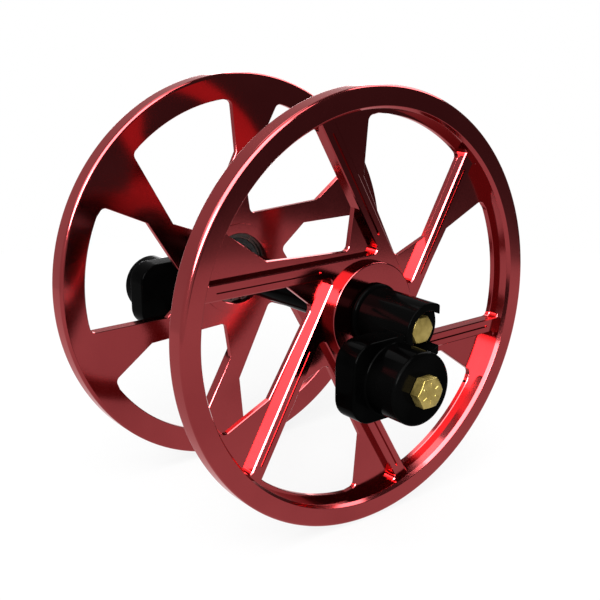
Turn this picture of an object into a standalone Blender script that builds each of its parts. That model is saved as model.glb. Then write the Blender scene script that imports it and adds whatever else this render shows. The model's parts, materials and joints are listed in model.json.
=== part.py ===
"""Twin wheel axle set of a tracked machine.

Two six-spoked wheels turn on ball bearings at the ends of a cross shaft. Outside each
wheel a bracket is bolted to the shaft's end. Its lower boss carries the bolt that
fastens the set to a rail. X is the axle, right is +X, Z is up. The origin is the middle
of the axle. Right and left wheels are the same part, turned round. The brackets are
mirror images.

Lengths are in metres. Each turned profile is a list of (distance along X, radius).
"""

import math

import bmesh
import bpy
from mathutils import Matrix, Vector

# Wheel
WHEEL_RADIUS = 0.127
WHEEL_INNER_FACE = 0.0600
WHEEL_OUTER_FACE = 0.0733
WHEEL_SPOKES = 6
WHEEL_STEPS = 48
RIM_FACE_RADIUS = 0.1157
RIM_WALL_RADIUS = 0.1143
RIM_INNER_BEVEL = 0.0022
RIM_FRONT_BEVEL = (0.0019, 0.0012)
RIM_BACK_BEVEL = 0.0014
WEB_THICKNESS = 0.0034
HUB_RADIUS = 0.0295
HUB_EDGE = 0.0006
HUB_PAD_RADIUS = 0.0302
HUB_PAD_HEIGHT = 0.0005
LIP_BORE = 0.0168
LIP_THICKNESS = 0.0016

# Windows between the spokes, in fractions of the wheel's radius
WINDOW_RIM = 0.8755
WINDOW_STRAIGHT = -0.188
WINDOW_FOOT = (0.438, WINDOW_STRAIGHT)
WINDOW_NOSE = (0.287, -0.067)
WINDOW_SHOULDER = (0.525, 0.305)
WINDOW_TIP = (0.764, 0.414)
WINDOW_FILLET = 0.0038
WINDOW_CORNER_TURN = 0.06

# Ribs on the spokes
RIB_WIDTH = 0.0089
RIB_TOP = 0.0680
RIB_BEVEL = 0.0013
RIB_REACH = 0.905
RIB_INSET = 0.00004
GROOVE_WIDTH = 0.0013
GROOVE_DEPTH = 0.0012
GROOVE_SPAN = (0.271, 0.801)

# Bearing, 25 x 47 x 8
BEARING_BORE = 0.0128
BEARING_OUTSIDE = 0.0232
BEARING_HALF_WIDTH = 0.0040
BEARING_X = 0.0674
BEARING_PITCH = 0.0180
BALL_RADIUS = 0.0022
BALL_COUNT = 10
RACE_GAP = 0.0003
INNER_SHOULDER = 0.0160
OUTER_SHOULDER = 0.0200
CAGE_HALF_WIDTH = 0.0031
CAGE_WALL = 0.0009
POCKET_RADIUS = 0.0025
SEAL_SPAN = (0.0033, 0.0039)
RING_STEPS = 30

# Shaft
SHAFT_RADIUS = 0.0125
SHAFT_END = 0.1016
SHAFT_THREAD_RADIUS = 0.00505
SHAFT_THREAD_END = 0.0780
SHAFT_EDGE = 0.0006
CLIP_SPAN = (0.0619, 0.0631)
CLIP_GROOVE_DEPTH = 0.0007
CLIP_OUTSIDE = 0.0146
SNAP_INSIDE = 0.0218
SNAP_GROOVE = 0.0243
SNAP_OPENING = math.radians(24)
GAP = 0.0003

# How far a cutter reaches past the face it cuts
BEYOND = 0.001

# Collar between bearing and bracket
COLLAR_SPAN = (0.0717, 0.0768)
COLLAR_SPIGOT = 0.0157
COLLAR_FLANGE_X = 0.0736
COLLAR_RADIUS = 0.0178

# End bracket
BOSS_RADIUS = 0.0160
BOSS_SPAN = (0.0771, 0.1168)
BOSS_EDGE = 0.0008
BOSS_FLOOR = 0.1060
POCKET_BORE = 0.0117
OPENING_Y = 0.0078
BOLT_CLEARANCE = 0.0053
BLOCK_X = (0.0994, 0.1150)
BLOCK_Y = (-0.0508, 0.0046)
BLOCK_Z = (-0.0432, 0.0009)
BLOCK_CORNER = 0.0127
BLOCK_EDGE = 0.0010
LOWER_CENTRE = (-0.0234, -0.0215)
LOWER_RADIUS = 0.0198
LOWER_FRONT = 0.1365
LOWER_EDGE = 0.0020
LOWER_THREAD_RADIUS = 0.00585
LOWER_THREAD_END = 0.1070

# Bolts
AXLE_BOLT_FLATS = 0.0139
AXLE_BOLT_HEAD = (0.1076, 0.1123)
AXLE_BOLT_SHANK = 0.00475
AXLE_BOLT_TIP = 0.0810
WASHER_SPAN = (0.1063, 0.1073)
WASHER_RADIUS = 0.0105
MOUNT_BOLT_FLATS = 0.0152
MOUNT_BOLT_HEAD = (0.1368, 0.1429)
MOUNT_BOLT_SHANK = 0.00555
MOUNT_BOLT_TIP = 0.1080
BOLT_BEVEL = 0.0006

RED = ((0.42, 0.020, 0.022), 0.22, 1.0)
BLACK = ((0.012, 0.012, 0.013), 0.25, 0.0)
STEEL = ((0.62, 0.62, 0.63), 0.28, 1.0)
RUBBER = ((0.020, 0.020, 0.021), 0.6, 0.0)
ZINC = ((0.60, 0.47, 0.16), 0.35, 1.0)
BRONZE = ((0.55, 0.36, 0.16), 0.4, 1.0)


def clear_scene():
    for obj in list(bpy.data.objects):
        bpy.data.objects.remove(obj, do_unlink=True)


def material(label, finish):
    colour, roughness, metallic = finish
    made = bpy.data.materials.new(label)
    made.use_nodes = True
    shader = made.node_tree.nodes["Principled BSDF"]
    shader.inputs["Base Color"].default_value = (*colour, 1.0)
    shader.inputs["Roughness"].default_value = roughness
    shader.inputs["Metallic"].default_value = metallic
    return made


def add_object(name, mesh, finish):
    obj = bpy.data.objects.new(name, mesh)
    bpy.context.scene.collection.objects.link(obj)
    mesh.materials.clear()
    mesh.materials.append(material(name + "_finish", finish))
    mesh.shade_smooth()
    mesh.set_sharp_from_angle(angle=math.radians(30))
    return obj


def finish_mesh(name, bm):
    bmesh.ops.recalc_face_normals(bm, faces=bm.faces)
    mesh = bpy.data.meshes.new(name)
    bm.to_mesh(mesh)
    bm.free()
    return mesh


def circle_point(x, radius, angle, centre=(0.0, 0.0)):
    return Vector((x, centre[0] + radius * math.cos(angle), centre[1] + radius * math.sin(angle)))


def turned(bm, profile, steps, centre=(0.0, 0.0)):
    """Add a solid of revolution about a line along X to bm.

    A profile that starts and ends on the axis is open. Any other profile is a closed loop.
    """
    rings = []
    for x, radius in profile:
        count = steps if radius > 1e-9 else 1
        angles = [math.tau * k / steps for k in range(count)]
        rings.append([bm.verts.new(circle_point(x, radius, a, centre)) for a in angles])
    pairs = list(zip(rings, rings[1:]))
    if len(rings[0]) > 1 or len(rings[-1]) > 1:
        pairs.append((rings[-1], rings[0]))
    for ring_a, ring_b in pairs:
        for k in range(steps):
            corners = [ring_a[k % len(ring_a)], ring_a[(k + 1) % len(ring_a)],
                       ring_b[(k + 1) % len(ring_b)], ring_b[k % len(ring_b)]]
            distinct = list(dict.fromkeys(corners))
            if len(distinct) > 2:
                bm.faces.new(distinct)


def turned_mesh(name, profile, steps, centre=(0.0, 0.0)):
    bm = bmesh.new()
    turned(bm, profile, steps, centre)
    return finish_mesh(name, bm)


def lofted(bm, sections):
    """Add a solid whose sections are (x, outline) with equally many (y, z) points."""
    rings = [[bm.verts.new((x, y, z)) for y, z in outline] for x, outline in sections]
    bm.faces.new(rings[0])
    bm.faces.new(rings[-1])
    count = len(rings[0])
    for ring_a, ring_b in zip(rings, rings[1:]):
        for k in range(count):
            after = (k + 1) % count
            bm.faces.new((ring_a[k], ring_a[after], ring_b[after], ring_b[k]))


def lofted_mesh(name, sections):
    bm = bmesh.new()
    lofted(bm, sections)
    return finish_mesh(name, bm)


def turned_about_x(outline, angle):
    spin = Matrix.Rotation(angle, 2)
    return [tuple(spin @ Vector(point)) for point in outline]


def arc(centre, radius, start, stop, steps):
    turns = [start + (stop - start) * k / steps for k in range(steps + 1)]
    return [(centre[0] + radius * math.cos(a), centre[1] + radius * math.sin(a)) for a in turns]


def fillet(before, corner, after, radius, steps):
    """Points of the arc that rounds a corner between two straight edges."""
    corner = Vector(corner)
    back = (Vector(before) - corner).normalized()
    ahead = (Vector(after) - corner).normalized()
    half = back.angle(ahead) / 2
    centre = corner + (back + ahead).normalized() * radius / math.sin(half)
    first = corner + back * radius / math.tan(half) - centre
    last = corner + ahead * radius / math.tan(half) - centre
    start = math.atan2(first.y, first.x)
    sweep = math.atan2(first.x * last.y - first.y * last.x, first.dot(last))
    return arc(centre, radius, start, start + sweep, steps)


def inset(outline, distance):
    """The outline of a counter-clockwise polygon, moved inwards by a distance."""
    points = [Vector(point) for point in outline]
    moved = []
    for k, point in enumerate(points):
        into = (point - points[k - 1]).normalized()
        out = (points[(k + 1) % len(points)] - point).normalized()
        side_in = Vector((-into.y, into.x))
        side_out = Vector((-out.y, out.x))
        middle = (side_in + side_out).normalized()
        moved.append(tuple(point + middle * distance / middle.dot(side_in)))
    return moved


def boolean(obj, operation, mesh):
    """Join or cut obj with a mesh in the same place, and apply the result."""
    tool = bpy.data.objects.new(obj.name + "_tool", mesh)
    bpy.context.scene.collection.objects.link(tool)
    tool.matrix_world = obj.matrix_world
    tool.hide_render = True
    tool.display_type = "WIRE"
    step = obj.modifiers.new(operation.lower(), "BOOLEAN")
    step.operation = operation
    step.solver = "EXACT"
    step.object = tool
    evaluated = obj.evaluated_get(bpy.context.evaluated_depsgraph_get())
    result = bpy.data.meshes.new_from_object(evaluated)
    obj.modifiers.clear()
    obj.data = result
    bpy.data.objects.remove(tool, do_unlink=True)


def mirrored(name, mesh):
    bm = bmesh.new()
    bm.from_mesh(mesh)
    bmesh.ops.transform(bm, matrix=Matrix.Diagonal((-1.0, 1.0, 1.0, 1.0)), verts=bm.verts)
    bmesh.ops.reverse_faces(bm, faces=bm.faces)
    made = bpy.data.meshes.new(name)
    bm.to_mesh(made)
    bm.free()
    return made


def both_sides(piece, mesh, finish, origin=(0.0, 0.0, 0.0)):
    """Add the right piece from a mesh about its origin, and its mirror image on the left."""
    right = add_object("right_" + piece, mesh, finish)
    right.location = origin
    left = add_object("left_" + piece, mirrored("left_" + piece, mesh), finish)
    left.location = (-origin[0], origin[1], origin[2])


def scaled(points):
    return [(y * WHEEL_RADIUS, z * WHEEL_RADIUS) for y, z in points]


def window_outline():
    """One window, counter-clockwise seen from +X on the right wheel."""
    foot, nose, shoulder, tip = scaled([WINDOW_FOOT, WINDOW_NOSE, WINDOW_SHOULDER, WINDOW_TIP])
    rim = WINDOW_RIM * WHEEL_RADIUS
    low_angle = math.asin(foot[1] / rim)
    high_angle = math.atan2(tip[1], tip[0])
    low = (rim * math.cos(low_angle), foot[1])
    near_low = circle_point(0, rim, low_angle + 2 * WINDOW_CORNER_TURN)
    near_high = circle_point(0, rim, high_angle - 2 * WINDOW_CORNER_TURN)
    points = [foot]
    points += fillet(foot, low, near_low.yz, WINDOW_FILLET, 4)
    points += arc((0, 0), rim, low_angle + WINDOW_CORNER_TURN, high_angle - WINDOW_CORNER_TURN, 6)
    points += fillet(near_high.yz, tip, shoulder, WINDOW_FILLET, 4)
    points.append(shoulder)
    points += fillet(shoulder, nose, foot, WINDOW_FILLET, 4)
    return points


def spoke_angles():
    return [math.tau * k / WHEEL_SPOKES for k in range(WHEEL_SPOKES)]


def rib_star():
    """The ribs' outline: six bars, each ending on the side of the next one."""
    window_side = WINDOW_STRAIGHT * WHEEL_RADIUS - RIB_INSET
    web_side = WINDOW_STRAIGHT * WHEEL_RADIUS - RIB_WIDTH
    reach = RIB_REACH * WHEEL_RADIUS
    pitch = math.tau / WHEEL_SPOKES
    meeting = (window_side - web_side * math.cos(pitch)) / math.sin(pitch)
    outline = []
    for angle in spoke_angles():
        bar = [(meeting, web_side), (reach, web_side), (reach, window_side)]
        outline += turned_about_x(bar, angle)
    return outline


def groove_outline():
    height = WINDOW_STRAIGHT * WHEEL_RADIUS - RIB_WIDTH / 2
    start, stop = (value * WHEEL_RADIUS for value in GROOVE_SPAN)
    half = GROOVE_WIDTH / 2
    near = arc((start, height), half, math.pi / 2, 3 * math.pi / 2, 4)
    far = arc((stop, height), half, -math.pi / 2, math.pi / 2, 4)
    return near + far


def repeated(name, outline, span):
    """One mesh with an outline repeated at every spoke."""
    bm = bmesh.new()
    for angle in spoke_angles():
        turned_outline = turned_about_x(outline, angle)
        lofted(bm, [(x - BEARING_X, turned_outline) for x in span])
    return finish_mesh(name, bm)


def about_bearing(profile):
    return [(x - BEARING_X, radius) for x, radius in profile]


def wheel_mesh():
    pad = WHEEL_INNER_FACE - HUB_PAD_HEIGHT
    web = WHEEL_INNER_FACE + WEB_THICKNESS
    front_x, front_r = RIM_FRONT_BEVEL
    blank = [(pad, 0.0), (pad, HUB_PAD_RADIUS), (WHEEL_INNER_FACE, HUB_PAD_RADIUS),
             (WHEEL_INNER_FACE, WHEEL_RADIUS - RIM_BACK_BEVEL),
             (WHEEL_INNER_FACE + RIM_BACK_BEVEL, WHEEL_RADIUS),
             (WHEEL_OUTER_FACE - front_x, WHEEL_RADIUS),
             (WHEEL_OUTER_FACE, WHEEL_RADIUS - front_r),
             (WHEEL_OUTER_FACE, RIM_FACE_RADIUS),
             (WHEEL_OUTER_FACE - RIM_INNER_BEVEL, RIM_WALL_RADIUS),
             (web, RIM_WALL_RADIUS), (web, HUB_RADIUS),
             (WHEEL_OUTER_FACE - HUB_EDGE, HUB_RADIUS),
             (WHEEL_OUTER_FACE, HUB_RADIUS - HUB_EDGE), (WHEEL_OUTER_FACE, 0.0)]
    bore = BEARING_OUTSIDE + GAP
    groove = [CLIP_SPAN[0] - GAP, CLIP_SPAN[1] + GAP]
    lip = WHEEL_OUTER_FACE - LIP_THICKNESS
    hole = [(pad - BEYOND, 0.0), (pad - BEYOND, bore), (groove[0], bore), (groove[0], SNAP_GROOVE),
            (groove[1], SNAP_GROOVE), (groove[1], bore), (lip, bore), (lip, LIP_BORE),
            (WHEEL_OUTER_FACE + BEYOND, LIP_BORE), (WHEEL_OUTER_FACE + BEYOND, 0.0)]
    star = rib_star()
    rib_foot = (WHEEL_INNER_FACE + web) / 2
    sections = [(rib_foot, star), (RIB_TOP - RIB_BEVEL, star), (RIB_TOP, inset(star, RIB_BEVEL))]
    wheel = bpy.data.objects.new("wheel_blank", turned_mesh("wheel", about_bearing(blank), WHEEL_STEPS))
    bpy.context.scene.collection.objects.link(wheel)
    window_span = (WHEEL_INNER_FACE - BEYOND, WHEEL_OUTER_FACE)
    boolean(wheel, "DIFFERENCE", repeated("windows", window_outline(), window_span))
    boolean(wheel, "UNION", lofted_mesh("ribs", [(x - BEARING_X, line) for x, line in sections]))
    groove_span = (RIB_TOP - GROOVE_DEPTH, RIB_TOP + BEYOND)
    boolean(wheel, "DIFFERENCE", repeated("grooves", groove_outline(), groove_span))
    boolean(wheel, "DIFFERENCE", turned_mesh("hub_bore", about_bearing(hole), 32))
    mesh = wheel.data
    bpy.data.objects.remove(wheel, do_unlink=True)
    return mesh


def make_wheels():
    mesh = wheel_mesh()
    right = add_object("right_wheel", mesh, RED)
    right.location = (BEARING_X, 0, 0)
    left = add_object("left_wheel", mesh.copy(), RED)
    left.location = (-BEARING_X, 0, 0)
    left.rotation_euler = (0, 0, math.pi)


def race_profile(plain_radius, shoulder, bulge):
    """A bearing ring's closed profile, with a round ball groove in its shoulder."""
    groove = BALL_RADIUS + RACE_GAP
    half = math.acos(abs(shoulder - BEARING_PITCH) / groove)
    turns = [half * (1 - k) for k in range(3)]
    points = [(-BEARING_HALF_WIDTH, plain_radius), (-BEARING_HALF_WIDTH, shoulder)]
    for turn in turns:
        points.append((-groove * math.sin(turn), BEARING_PITCH + bulge * groove * math.cos(turn)))
    return points + [(BEARING_HALF_WIDTH, shoulder), (BEARING_HALF_WIDTH, plain_radius)]


def make_bearing_rings():
    inner = race_profile(BEARING_BORE, INNER_SHOULDER, -1)
    outer = race_profile(BEARING_OUTSIDE, OUTER_SHOULDER, 1)
    at = (BEARING_X, 0, 0)
    both_sides("bearing_inner_ring", turned_mesh("inner_ring", inner, RING_STEPS), STEEL, at)
    both_sides("bearing_outer_ring", turned_mesh("outer_ring", outer, RING_STEPS), STEEL, at)


def ball_angles():
    return [math.tau * k / BALL_COUNT for k in range(BALL_COUNT)]


def make_balls():
    for number, angle in enumerate(ball_angles(), start=1):
        bm = bmesh.new()
        place = Matrix.Translation(circle_point(0, BEARING_PITCH, angle))
        bmesh.ops.create_icosphere(bm, subdivisions=2, radius=BALL_RADIUS, matrix=place)
        both_sides(f"ball_{number:02d}", finish_mesh("ball", bm), STEEL, (BEARING_X, 0, 0))


def make_cages():
    low, high = BEARING_PITCH - CAGE_WALL, BEARING_PITCH + CAGE_WALL
    half = CAGE_HALF_WIDTH
    ring = [(-half, low), (half, low), (half, high), (-half, high)]
    cage = bpy.data.objects.new("cage_blank", turned_mesh("cage", ring, RING_STEPS))
    bpy.context.scene.collection.objects.link(cage)
    bm = bmesh.new()
    for angle in ball_angles():
        place = Matrix.Rotation(angle, 4, "X") @ Matrix.Translation((0, BEARING_PITCH, 0))
        place = place @ Matrix.Rotation(math.pi / 2, 4, "X")
        bmesh.ops.create_cone(bm, cap_ends=True, segments=10, radius1=POCKET_RADIUS,
                              radius2=POCKET_RADIUS, depth=CAGE_WALL * 6, matrix=place)
    boolean(cage, "DIFFERENCE", finish_mesh("pockets", bm))
    mesh = cage.data
    bpy.data.objects.remove(cage, do_unlink=True)
    both_sides("bearing_cage", mesh, BRONZE, (BEARING_X, 0, 0))


def make_seals():
    low, high = INNER_SHOULDER + GAP, OUTER_SHOULDER - GAP
    near, far = SEAL_SPAN
    outer = [(near, low), (far, low), (far, high), (near, high)]
    inner = [(-x, radius) for x, radius in outer]
    at = (BEARING_X, 0, 0)
    both_sides("bearing_outer_seal", turned_mesh("outer_seal", outer, RING_STEPS), RUBBER, at)
    both_sides("bearing_inner_seal", turned_mesh("inner_seal", inner, RING_STEPS), RUBBER, at)


def open_ring(name, inside, outside):
    """A flat ring with an opening at its lowest point."""
    start = -math.pi / 2 + SNAP_OPENING / 2
    stop = start + math.tau - SNAP_OPENING
    outline = arc((0, 0), outside, start, stop, 24) + arc((0, 0), inside, stop, start, 24)
    return lofted_mesh(name, [(x - BEARING_X, outline) for x in CLIP_SPAN])


def make_snap_rings():
    at = (BEARING_X, 0, 0)
    groove_floor = SHAFT_RADIUS - CLIP_GROOVE_DEPTH
    axle_ring = open_ring("axle_ring", groove_floor + GAP, CLIP_OUTSIDE)
    both_sides("axle_snap_ring", axle_ring, STEEL, at)
    hub_ring = open_ring("hub_ring", SNAP_INSIDE, SNAP_GROOVE - GAP)
    both_sides("hub_snap_ring", hub_ring, STEEL, at)


def make_shaft():
    floor = SHAFT_RADIUS - CLIP_GROOVE_DEPTH
    groove = (CLIP_SPAN[0] - GAP, CLIP_SPAN[1] + GAP)
    half = [(SHAFT_THREAD_END, 0.0), (SHAFT_THREAD_END, SHAFT_THREAD_RADIUS),
            (SHAFT_END, SHAFT_THREAD_RADIUS), (SHAFT_END, SHAFT_RADIUS - SHAFT_EDGE),
            (SHAFT_END - SHAFT_EDGE, SHAFT_RADIUS), (groove[1], SHAFT_RADIUS),
            (groove[1], floor), (groove[0], floor), (groove[0], SHAFT_RADIUS)]
    other = [(-x, radius) for x, radius in reversed(half)]
    add_object("axle_shaft", turned_mesh("shaft", half + other, 32), BLACK)


def make_collars():
    start, stop = COLLAR_SPAN
    edge = (stop - COLLAR_FLANGE_X) / 2
    middle = COLLAR_FLANGE_X + edge
    rounding = arc((middle, COLLAR_RADIUS - edge), edge, math.pi, 0, 4)
    profile = [(start, BEARING_BORE), (start, COLLAR_SPIGOT), (COLLAR_FLANGE_X, COLLAR_SPIGOT)]
    profile += rounding + [(stop, BEARING_BORE)]
    both_sides("axle_collar", turned_mesh("collar", profile, 32), BLACK)


def block_outline():
    low_y, high_y = BLOCK_Y
    low_z, high_z = BLOCK_Z
    r = BLOCK_CORNER
    quarter = math.pi / 2
    corners = [(high_y - r, high_z - r, 0), (low_y + r, high_z - r, 1),
               (low_y + r, low_z + r, 2), (high_y - r, low_z + r, 3)]
    points = []
    for y, z, turn in corners:
        points += arc((y, z), r, turn * quarter, (turn + 1) * quarter, 4)
    return points


def box_outline(y_span, z_span):
    return [(y_span[0], z_span[0]), (y_span[1], z_span[0]), (y_span[1], z_span[1]), (y_span[0], z_span[1])]


def bracket_mesh():
    start, stop = BOSS_SPAN
    boss = [(start, 0.0), (start, BOSS_RADIUS), (stop - BOSS_EDGE, BOSS_RADIUS),
            (stop, BOSS_RADIUS - BOSS_EDGE), (stop, 0.0)]
    bracket = bpy.data.objects.new("bracket_blank", turned_mesh("bracket", boss, 40))
    bpy.context.scene.collection.objects.link(bracket)
    outline = block_outline()
    back, front = BLOCK_X
    block = [(back, outline), (front - BLOCK_EDGE, outline), (front, inset(outline, BLOCK_EDGE))]
    boolean(bracket, "UNION", lofted_mesh("block", block))
    middle = (back + front) / 2
    edge = LOWER_EDGE
    rounding = arc((LOWER_FRONT - edge, LOWER_RADIUS - edge), edge, math.pi / 2, 0, 2)
    lower = [(middle, 0.0), (middle, LOWER_RADIUS)] + rounding + [(LOWER_FRONT, 0.0)]
    boolean(bracket, "UNION", turned_mesh("lower_boss", lower, 40, LOWER_CENTRE))
    bore = SHAFT_RADIUS + GAP
    step = SHAFT_END + GAP
    hole = [(start - BEYOND, 0.0), (start - BEYOND, bore), (step, bore), (step, BOLT_CLEARANCE),
            (BOSS_FLOOR, BOLT_CLEARANCE), (BOSS_FLOOR, POCKET_BORE),
            (stop + BEYOND, POCKET_BORE), (stop + BEYOND, 0.0)]
    boolean(bracket, "DIFFERENCE", turned_mesh("boss_hole", hole, 32))
    reach = BOSS_RADIUS + BEYOND
    opening = box_outline((OPENING_Y, reach), (-reach, reach))
    span = (BOSS_FLOOR, stop + BEYOND)
    boolean(bracket, "DIFFERENCE", lofted_mesh("opening", [(x, opening) for x in span]))
    thread = [(LOWER_THREAD_END, 0.0), (LOWER_THREAD_END, LOWER_THREAD_RADIUS),
              (LOWER_FRONT + BEYOND, LOWER_THREAD_RADIUS), (LOWER_FRONT + BEYOND, 0.0)]
    boolean(bracket, "DIFFERENCE", turned_mesh("lower_hole", thread, 24, LOWER_CENTRE))
    mesh = bracket.data
    bpy.data.objects.remove(bracket, do_unlink=True)
    return mesh


def bolt_mesh(name, flats, head, shank_radius, tip, centre=(0.0, 0.0)):
    """A hex bolt along X with its head at +X."""
    bevel = BOLT_BEVEL
    hexagon = arc(centre, flats / math.sqrt(3), 0, math.tau, 6)[:-1]
    sections = [(head[0], hexagon), (head[1] - bevel, hexagon), (head[1], inset(hexagon, bevel))]
    bolt = bpy.data.objects.new(name, lofted_mesh(name, sections))
    bpy.context.scene.collection.objects.link(bolt)
    inside = (head[0] + head[1]) / 2
    shank = [(tip, 0.0), (tip, shank_radius - bevel), (tip + bevel, shank_radius),
             (inside, shank_radius), (inside, 0.0)]
    boolean(bolt, "UNION", turned_mesh(name + "_shank", shank, 24, centre))
    mesh = bolt.data
    bpy.data.objects.remove(bolt, do_unlink=True)
    return mesh


def make_bolts():
    axle = bolt_mesh("axle_bolt", AXLE_BOLT_FLATS, AXLE_BOLT_HEAD, AXLE_BOLT_SHANK, AXLE_BOLT_TIP)
    both_sides("axle_bolt", axle, ZINC)
    mount = bolt_mesh("mount_bolt", MOUNT_BOLT_FLATS, MOUNT_BOLT_HEAD, MOUNT_BOLT_SHANK,
                      MOUNT_BOLT_TIP, LOWER_CENTRE)
    both_sides("mount_bolt", mount, ZINC)


def make_washers():
    start, stop = WASHER_SPAN
    profile = [(start, BOLT_CLEARANCE), (stop, BOLT_CLEARANCE),
               (stop, WASHER_RADIUS), (start, WASHER_RADIUS)]
    both_sides("axle_bolt_washer", turned_mesh("washer", profile, 24), BLACK)


def build():
    clear_scene()
    make_shaft()
    make_wheels()
    make_bearing_rings()
    make_balls()
    make_cages()
    make_seals()
    make_snap_rings()
    make_collars()
    both_sides("end_bracket", bracket_mesh(), BLACK)
    make_bolts()
    make_washers()


build()
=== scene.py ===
"""Looks of the twin wheel axle set of a tracked machine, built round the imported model.

X is the axle, right is +X, Z is up, and the origin is the middle of the axle. Lengths are
in metres. A turned profile is a list of (distance along X, radius, rounding of that
corner). Each side's pieces are made once, as the right one. The left wheel is the same
piece turned round, and every other piece made here is mirrored for the left. The shaft
is one piece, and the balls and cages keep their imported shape.
"""

import json
import math

import bmesh
import bpy
from mathutils import Matrix, Vector


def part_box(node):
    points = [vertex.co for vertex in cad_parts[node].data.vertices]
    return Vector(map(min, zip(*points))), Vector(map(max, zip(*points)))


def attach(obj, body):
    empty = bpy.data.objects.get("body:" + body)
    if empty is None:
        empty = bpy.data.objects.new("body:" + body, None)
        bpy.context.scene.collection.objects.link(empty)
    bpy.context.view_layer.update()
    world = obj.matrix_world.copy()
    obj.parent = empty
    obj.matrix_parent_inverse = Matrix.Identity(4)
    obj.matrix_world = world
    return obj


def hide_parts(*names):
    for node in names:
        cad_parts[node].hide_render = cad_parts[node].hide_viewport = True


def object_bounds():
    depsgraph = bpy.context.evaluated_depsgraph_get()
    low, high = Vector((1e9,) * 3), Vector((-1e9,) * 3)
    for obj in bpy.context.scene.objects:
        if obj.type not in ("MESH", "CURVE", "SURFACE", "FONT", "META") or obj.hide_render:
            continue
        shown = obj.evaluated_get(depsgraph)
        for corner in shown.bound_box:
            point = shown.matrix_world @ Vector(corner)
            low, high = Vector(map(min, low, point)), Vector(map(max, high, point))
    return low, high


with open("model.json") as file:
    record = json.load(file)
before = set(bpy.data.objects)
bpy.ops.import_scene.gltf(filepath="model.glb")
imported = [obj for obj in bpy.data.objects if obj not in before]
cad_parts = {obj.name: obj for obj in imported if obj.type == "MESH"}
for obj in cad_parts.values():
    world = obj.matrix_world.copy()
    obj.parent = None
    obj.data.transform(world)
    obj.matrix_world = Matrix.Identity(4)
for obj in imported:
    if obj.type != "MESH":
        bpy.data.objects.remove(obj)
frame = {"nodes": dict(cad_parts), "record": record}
cad_low, cad_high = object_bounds()
wheel_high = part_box("right_wheel")[1]

# Wheel
WHEEL_RADIUS = wheel_high.z
WHEEL_OUTER_FACE = wheel_high.x
WHEEL_INNER_FACE = 0.0600
WHEEL_SPOKES = 6
WHEEL_STEPS = 288
WEB_THICKNESS = 0.0034
WEB_FACE = WHEEL_INNER_FACE + WEB_THICKNESS
RIM_FACE_RADIUS = 0.1157
RIM_WALL_RADIUS = 0.1143
RIM_INNER_BEVEL = 0.0022
RIM_FRONT_ROUND = 0.0026
RIM_BACK_ROUND = 0.0020
TURNED_EDGE = 0.0004
HUB_RADIUS = 0.0295
HUB_EDGE = 0.0007
HUB_FOOT = 0.0003
HUB_PAD_RADIUS = 0.0302
HUB_PAD_HEIGHT = 0.0005
LIP_BORE = 0.0168
LIP_THICKNESS = 0.0016

# Windows between the spokes, in fractions of the wheel's radius
WINDOW_RIM = 0.8755
WINDOW_STRAIGHT = -0.188
WINDOW_FOOT = (0.438, WINDOW_STRAIGHT)
WINDOW_NOSE = (0.287, -0.067)
WINDOW_SHOULDER = (0.525, 0.305)
WINDOW_TIP = (0.764, 0.414)
WINDOW_FILLET = 0.0038
WINDOW_CORNER_TURN = 0.06
WINDOW_ARC_STEPS = 28
WINDOW_EDGE = 0.0003

# Ribs on the spokes
RIB_WIDTH = 0.0089
RIB_TOP = 0.0680
RIB_EDGE = 0.0006
RIB_REACH = 0.93
RIB_INSET = 0.00002
RIB_END_FILLET = 0.0026
RIB_END_WING = 0.03
RIB_MEETING_FILLET = 0.0030
RIB_FILLET_STEPS = 6
GROOVE_WIDTH = 0.0012
GROOVE_DEPTH = 0.0011
GROOVE_SPAN = (0.271, 0.801)

# Bearing and its rings
BEARING_X = 0.0674
BEARING_BORE = 0.0128
BEARING_OUTSIDE = 0.0232
BEARING_HALF_WIDTH = 0.0040
BEARING_PITCH = 0.0180
BALL_GROOVE = 0.0025
BALL_GROOVE_TURN = math.radians(36.9)
INNER_SHOULDER = 0.0160
OUTER_SHOULDER = 0.0200
SEAL_SPAN = (0.0032, 0.0039)
CLIP_SPAN = (0.0619, 0.0631)
CLIP_OPENING = math.radians(26)
CLIP_EYE = 0.0019
CLIP_EYE_HOLE = 0.0008
CLIP_STEPS = 48
CLIP_EYE_STEPS = 24
CLIP_HOLE_STEPS = 32
AXLE_CLIP = (0.0121, 0.0146)
HUB_CLIP = (0.0218, 0.0240)
SNAP_GROOVE = 0.0243

# Shaft and collar
SHAFT_RADIUS = 0.0125
SHAFT_END = 0.1016
SHAFT_EDGE = 0.0006
SHAFT_GROOVE_FLOOR = 0.0118
SHAFT_THREAD_RADIUS = 0.00505
SHAFT_THREAD_END = 0.0780
COLLAR_SPAN = (0.0717, 0.0768)
COLLAR_SPIGOT = 0.0157
COLLAR_FLANGE_X = 0.0736
COLLAR_RADIUS = 0.0178
COLLAR_EDGE_SHARE = 0.48

# End bracket
BOSS_RADIUS = 0.0160
BOSS_SPAN = (0.0771, 0.1168)
BOSS_EDGE = 0.0008
BOSS_FLOOR = 0.1060
POCKET_BORE = 0.0117
OPENING_Y = 0.0078
BOLT_CLEARANCE = 0.0053
BLOCK_X = (0.0994, 0.1150)
BLOCK_Y = (-0.0508, 0.0046)
BLOCK_Z = (-0.0432, 0.0009)
BLOCK_CORNER = 0.0127
BLOCK_EDGE = 0.0012
LOWER_CENTRE = (-0.0234, -0.0215)
LOWER_RADIUS = 0.0198
LOWER_FRONT = 0.1365
LOWER_EDGE = 0.0020
LOWER_FOOT = 0.0012
LOWER_FOOT_SHARE = 0.98
LOWER_STEPS = 6
LOWER_THREAD_RADIUS = 0.00585
LOWER_THREAD_END = 0.1070

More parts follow.
